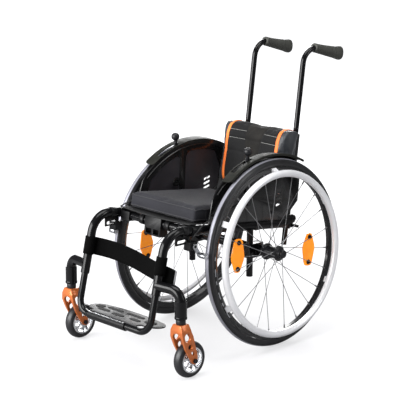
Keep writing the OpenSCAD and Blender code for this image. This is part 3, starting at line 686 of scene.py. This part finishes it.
def seat_cushion():
    """A box of foam in a tight cover, with piping round its edges and a seam at each side."""
    c = CUSHION
    bm = bmesh.new()
    bmesh.ops.create_cube(bm, size=1)
    scale = (2 * c["half"] - 9, c["back"] - c["front"] - 9, c["high"] - c["low"] - 7)
    middle = (0, (c["front"] + c["back"]) / 2, (c["high"] + c["low"]) / 2 - 2.6)
    moved(bm, Matrix.Translation(middle) @ Matrix.Diagonal((*scale, 1)))
    bmesh.ops.bevel(bm, geom=bm.edges[:], offset=5, segments=3, profile=0.5, affect="EDGES", material=-1)
    bm = blown(moved(bm, SEAT), 5.0, 6.5, "cushion_foam")
    back_to_seat = SEAT.inverted()
    for vert in bm.verts:
        at = back_to_seat @ vert.co
        crown = max(0, 1 - (at.x / c["half"]) ** 4) * max(0, 1 - ((at.y - middle[1]) / 165) ** 4)
        if at.z > middle[2]:
            at.z += 2.2 * crown
        at.z = max(at.z, c["low"])
        vert.co = SEAT @ at
    smooth(bm)
    tree = BVHTree.FromBMesh(bm)
    cushion = piece("seat_cushion_cover", bm, "cushion", "frame", "cushion", ("seat_cushion",), levels=1)
    cords = []
    for z in (c["high"] - 2.5, c["low"] + 5):
        loop = [SEAT @ p for p in rounded_rectangle(c["half"] + 2, c["front"] - 2, c["back"] + 2, z, 9)]
        loop = on_surface(tree, loop, 0.5)
        cords.append(line_of(loop + loop[:1], 1.5 * MM))
    seam = [SEAT @ Vector((s * (c["half"] + 3), 120, z)) for s in (-1, 1) for z in range(20, 55, 4)]
    for half in (seam[:9], seam[9:]):
        cords.append(line_of(on_surface(tree, half, -0.2), 0.9 * MM))
    piece("cushion_piping", solid_of(*cords), "piping", "frame", "cushion")


PAD_TOP, PAD_LOW, PAD_HALF, PAD_BACK = 264, 70, 129, -13.9
WING_X = 92
TAPE_X = 100
PAD_PROFILE = [(70, -58), (74, -71), (82, -80), (94, -84), (120, -84), (170, -82), (215, -80), (238, -78),
               (250, -74), (259, -66), (264, -54)]


def pad_front(x, z):
    """How far forward the back pad reaches at a width and height."""
    depth = PAD_PROFILE[-1][1]
    for (z0, y0), (z1, y1) in zip(PAD_PROFILE, PAD_PROFILE[1:]):
        if z0 <= z <= z1:
            depth = y0 + (y1 - y0) * (z - z0) / (z1 - z0)
            break
    wing = max(0, abs(x) - WING_X) / (PAD_HALF - WING_X)
    hollow = 5 * (1 - (x / WING_X) ** 2) if abs(x) < WING_X else 0
    return min(PAD_BACK - 8, depth + hollow + 6 * wing ** 3)


SEAMS = [(238, 2.34), (214, 2.34), (176, 1.82)]


def band_half(z):
    """Half the width of the mesh band up the middle, wider at the top."""
    return 24 + 14 * max(0, (z - 150) / 110) ** 1.5


def back_pad():
    """Foam in a cover with a mesh band up the middle, stitched seams and coated side wings."""
    bm = bmesh.new()
    bmesh.ops.create_grid(bm, x_segments=48, y_segments=36, size=0.5)
    for vert in bm.verts:
        x, z = vert.co.x * 2 * (PAD_HALF - 4), PAD_LOW + 4 + (vert.co.y + 0.5) * (PAD_TOP - PAD_LOW - 8)
        vert.co = (x, pad_front(x, z) + 4, z)
    grown = bmesh.ops.extrude_face_region(bm, geom=bm.faces[:])["geom"]
    for vert in (g for g in grown if isinstance(g, bmesh.types.BMVert)):
        vert.co.y = PAD_BACK - 1
    bmesh.ops.recalc_face_normals(bm, faces=bm.faces)
    bm = blown(moved(bm, BACK), 4.0, 5.0, "back_foam", 3.0)
    smooth(bm)
    inverse = BACK.inverted()
    for vert in bm.verts:
        at = inverse @ vert.co
        at.y = min(at.y, PAD_BACK)
        at.x = max(-PAD_HALF - 2, min(PAD_HALF + 2, at.x))
        if at.y < PAD_BACK - 14:
            dip = sum(deep * math.exp(-((at.z - z) / 3.6) ** 2) for z, deep in SEAMS if abs(at.x) <= TAPE_X + 1)
            dip += 2.0 * math.exp(-((abs(at.x) - band_half(at.z)) / 3.4) ** 2)
            dip += 2.2 * math.exp(-((abs(at.x) - TAPE_X) / 4.5) ** 2)
            at.y += dip
        vert.co = BACK @ at
    bm.faces.ensure_lookup_table()
    for face in bm.faces:
        at = inverse @ face.calc_center_median()
        if abs(at.x) > TAPE_X:
            face.material_index = 2
        elif abs(at.x) < band_half(at.z) and at.y < PAD_BACK - 10:
            face.material_index = 1
    tree = BVHTree.FromBMesh(bm)
    pad = piece("back_pad_cover", bm, "pad", "backrest", "pad", ("back_pad",), levels=1,
                extra=("mesh", "wing"))
    back_trim(tree)


def cast(tree, start, goal, lift):
    """The pad's surface between two points of the back's space, lifted off it towards the first."""
    start, goal = BACK @ Vector(start), BACK @ Vector(goal)
    along = (goal - start).normalized()
    at = tree.ray_cast(start, along)[0]
    return None if at is None else at - along * lift * MM


def cast_on(tree, x, z, lift):
    """The front of the pad at a width and height."""
    return cast(tree, (x, -150, z), (x, 0, z), lift)


def drop_on(tree, x, y, lift):
    """The top of the pad at a width and depth."""
    return cast(tree, (x, y, PAD_TOP + 60), (x, y, 0), lift)


def back_trim(tree):
    """Orange tapes over the pad's front and top, and two rows of grey stitches."""
    tapes = []
    for s in (-1, 1):
        up_front = [cast_on(tree, s * TAPE_X, z, 0.9) for z in range(PAD_LOW + 3, PAD_TOP - 8, 4)]
        over_top = [drop_on(tree, s * TAPE_X, y, 0.9) for y in range(-52, -16, 4)]
        points = [p for p in up_front + over_top if p is not None]
        tapes.append(ribbon(points, Vector((1, 0.12 * s, 0)).normalized(), 10.5 * MM, 4))
    piece("orange_tapes", solid_of(*tapes), "orange_tape", "backrest", "reflector", thick=1.8)
    stitches = []
    for z, _ in SEAMS[:2]:
        for s in (-1, 1):
            for k in range(14):
                x = s * (band_half(z) + 4 + k * 4.4)
                if abs(x) > TAPE_X - 3:
                    continue
                ends = [cast_on(tree, x + d, z, 0.35) for d in (-1.5, 0, 1.5)]
                if None not in ends:
                    stitches.append(line_of(ends, 0.65 * MM, 5))
    piece("back_stitching", solid_of(*stitches), "thread", "backrest", "pad")


POST_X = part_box("left_push_tube")[0].x / MM + 8


def seat_sling():
    """Cloth over the rails that sags a little between them."""
    bm = bmesh.new()
    bmesh.ops.create_grid(bm, x_segments=36, y_segments=30, size=0.5)
    for vert in bm.verts:
        x, y = vert.co.x * 281, 223 + vert.co.y * 350
        sag = 3.5 * max(0, 1 - (x / 128) ** 2)
        vert.co = (x, y, 14.2 - sag)
    seat = piece("seat_sling_cloth", moved(bm, SEAT), "nylon", "frame", "sling", ("seat_sling",), thick=2.2)


def back_sling():
    """Cloth round both posts, across in front of them, with its ends apart behind."""
    reach, post = 12.0, abs(POST_X)
    path = [Vector((x, reach, 0)) for x in range(-58, -int(post), -6)]
    path += [Vector((-post - reach * math.sin(a), reach * math.cos(a), 0))
             for a in (math.radians(d) for d in range(0, 181, 15))]
    path += [Vector((x, -reach - 0.3 * (1 - (x / post) ** 2), 0)) for x in range(-90, 91, 6)]
    path += [Vector((post + reach * math.sin(a), -reach * math.cos(a), 0))
             for a in (math.radians(d) for d in range(0, 181, 15))]
    path += [Vector((x, reach, 0)) for x in range(int(post) - 1, 57, -6)]
    bm = ribbon([p + 142 * UP for p in path], UP, 212, 14)
    back = piece("back_sling_cloth", moved(bm, BACK), "nylon", "backrest", "sling", ("back_sling",),
                 thick=1.6)


def calf_strap():
    """Webbing looped round each leg. The long one sags back and down to a free end at the left leg."""
    ring, leg_x = 14.2, RAIL_X
    lift = Vector((0, 0, (0.300 - LEG.translation.z) / LEG.col[2].z))
    loop = [Vector((ring * math.cos(a), ring * math.sin(a), 0)) + lift
            for a in (math.radians(d) for d in range(90, 451, 15))]
    left_loop = [p + Vector((leg_x, 0, 0)) for p in loop]
    bm = moved(ribbon(left_loop, UP, 50, 6), LEG)
    band = piece("calf_strap_loop", bm, "webbing", "frame", "strap", thick=2.4)
    path = [p - Vector((leg_x, 0, 0)) for p in reversed(loop)]
    for k in range(1, 31):
        t = k / 30
        drop = 0.5 - 0.5 * math.cos(math.pi * min(1, max(0, (t - 0.08) / 0.8)))
        bow = 34 * math.sin(math.pi * t) + 4 * t
        path.append(lift + Vector(((2 * t - 1) * leg_x, ring + bow, -23 * drop)))
    path += [lift + Vector((leg_x + x, ring + y, z))
             for x, y, z in ((11, 5, -24), (21, 8, -26), (31, 13, -29))]
    bm = moved(ribbon(path, UP, 50, 6), LEG)
    band = piece("calf_strap_web", bm, "webbing", "frame", "strap", ("calf_strap",), thick=2.4)
    edge = [path[-1], path[-1] + Vector((4, 2.6, -0.8))]
    bm = moved(ribbon(edge, UP, 48, 2), LEG)
    piece("strap_tail_edge", bm, "grey_tape", "frame", "strap", thick=1.4)


# ---------- side guards ----------

GUARD_FACES = (-33.0, -30.0)
PANEL_FLOOR = -31.7


def guard_ridges():
    """A raised line along each face of the guard, under the fender."""
    beads = [line_of([Vector((x, y, z)) for y, z in arc(269, 134, 66, 3)], 1.3) for x in GUARD_FACES]
    pair("guard_ridges", moved(solid_of(*beads), WHEEL), "guard", "frame", slot="guard")


def guard_shell():
    """Both guards with eased edges. The floors of their moulded panels have a duller grain."""
    bm = merged_copy("side_guards")
    inverse = WHEEL.inverted()
    for face in bm.faces:
        at = face.calc_center_median()
        at.x = abs(at.x)
        if abs((inverse @ at).x - PANEL_FLOOR) < 0.1:
            face.material_index = 1
    piece("side_guard_shells", bm, "guard", "frame", "guard", ("side_guards",), bevel=0.5, sharp=30,
          extra=("guard_panel",))


# ---------- grips, footplate ----------

def push_grips():
    """Ribbed rubber grips that grow thicker upwards to their ends."""
    corner, slope, reach, bend = 508, math.radians(16 - 7.2), 148, 45
    slant = Vector((0.03, math.cos(slope), -math.sin(slope)))
    along = slant.normalized()
    turn = math.acos(along.z)
    start = Vector((POST_X, 0, corner)) + along * (bend * math.tan(turn / 2) - 14)
    end = Vector((POST_X + 6, 0, corner)) + reach * slant
    length = (end - start).length + 5
    profile = [(0, 8.6), (0, 13.4), (1.5, 15.6), (5, 16.2), (8, 15.4)]
    x = 10
    while x < length - 30:
        profile += [(x, 14.6), (x + 1.6, 15.7), (x + 4.2, 15.7), (x + 5.8, 14.6)]
        x += 7.6
    profile += [(length + x, r)
                for x, r in ((-26, 15.2), (-14, 16.2), (-5, 16.6), (1, 16.0), (4.2, 13), (5.2, 0))]
    y_axis = along.cross((1, 0, 0)).normalized()
    place = Matrix((along, y_axis.cross(along), y_axis)).transposed().to_4x4()
    bm = lathe(profile, 40, closed=False)
    for vert in bm.verts:
        swell = min(1, max(0, vert.co.x / length))
        vert.co.y *= 0.88 + 0.12 * swell
        upper = vert.co.z < 0
        vert.co.z *= 0.88 + 0.75 * swell ** 1.5 if upper else 0.84 + 0.06 * swell
    bm = moved(bm, BACK @ Matrix.Translation(start) @ place)
    bmesh.ops.recalc_face_normals(bm, faces=bm.faces)
    pair("rubber_grip", bm, "grip", "{}_push_handle", "{}_push_grip", slot="grip", sharp=50)


def footplate_details():
    """Anti-slip pads on the plate and the toothed edge of its clamp."""
    pads = []
    spots = [(-78, 34, 46, 15), (-14, 30, 46, 15), (52, 34, 40, 15), (-62, 64, 62, 13), (20, 66, 70, 13),
             (96, 52, 40, 26), (-112, 52, 30, 26)]
    for x, y, length, width in spots:
        straight = (length - width) / 2
        outline = arc(width / 2, 90, 270, 20, (x - straight, y)) \
            + arc(width / 2, -90, 90, 20, (x + straight, y))
        pads.append(lying(plate(outline, 13.8, 15.6)))
    piece("foot_pads", moved(solid_of(*pads), PLATE), "grip_pad", "foot_plate", "grip", bevel=0.6)
    teeth = []
    for k in range(36):
        x = -94 + k * 4.1
        tooth = bmesh.new()
        bmesh.ops.create_cube(tooth, size=1)
        teeth.append(moved(tooth, Matrix.Translation((x, -6.4, 10.2)) @ Matrix.Diagonal((2.2, 5.0, 2.4, 1))))
    piece("clamp_teeth", moved(solid_of(*teeth), PLATE), "alloy", "foot_plate", "footplate", bevel=0.3)


# ---------- carried-over parts ----------

CARRIED = {
    "frame": ["left_side_tube", "right_side_tube", "caster_arms", "camber_tube", "seat_cross_tube",
              "back_frame", "left_push_tube", "right_push_tube", "foot_tube"],
    "rim": ["left_rim", "right_rim"],
    "spoke": ["left_spokes", "right_spokes"],
    "plastic": ["left_hub", "right_hub", "left_axle_button", "right_axle_button"],
    "steel": ["left_hub_bearings", "right_hub_bearings", "wheel_axles", "left_caster_bearings",
              "right_caster_bearings", "stem_bearings"],
    "handrim": ["left_handrim", "right_handrim"],
    "bracket": ["axle_sockets", "footplate_clamp"],
    "dark_steel": ["left_caster_bolt", "right_caster_bolt"],
    "cable": ["brake_cables"],
}
EASED = {
    "orange_alloy": ["left_caster_fork", "right_caster_fork"],
    "alloy": ["left_caster_wheel", "right_caster_wheel"],
    "bracket": ["cross_tube_clamps", "brake_mounts", "guard_lugs", "back_brackets", "handle_clamps"],
    "frame": ["axle_posts"],
    "fender": ["fenders"],
    "plastic": ["left_brake_lever", "right_brake_lever"],
    "steel": ["left_brake_arm", "right_brake_arm"],
    "plate": ["footplate"],
}


def carried_over():
    """Finishes for the nodes that stay, and copies with eased edges that stand for the others."""
    for material, names in CARRIED.items():
        for name in names:
            dress(frame["nodes"][name], material)
    for material, names in EASED.items():
        for name in names:
            piece(name + "_eased", merged_copy(name), material, body_of(name), stands_for=(name,),
                  bevel=0.6, sharp=30)


# ---------- the whole chair ----------

camera()
studio()
carried_over()
rear_tyres()
rim_trim()
reflectors()
hub_caps()
caster_tyres()
caster_details()
guard_shell()
guard_ridges()
screws()
seat_cushion()
back_pad()
seat_sling()
back_sling()
calf_strap()
push_grips()
footplate_details()
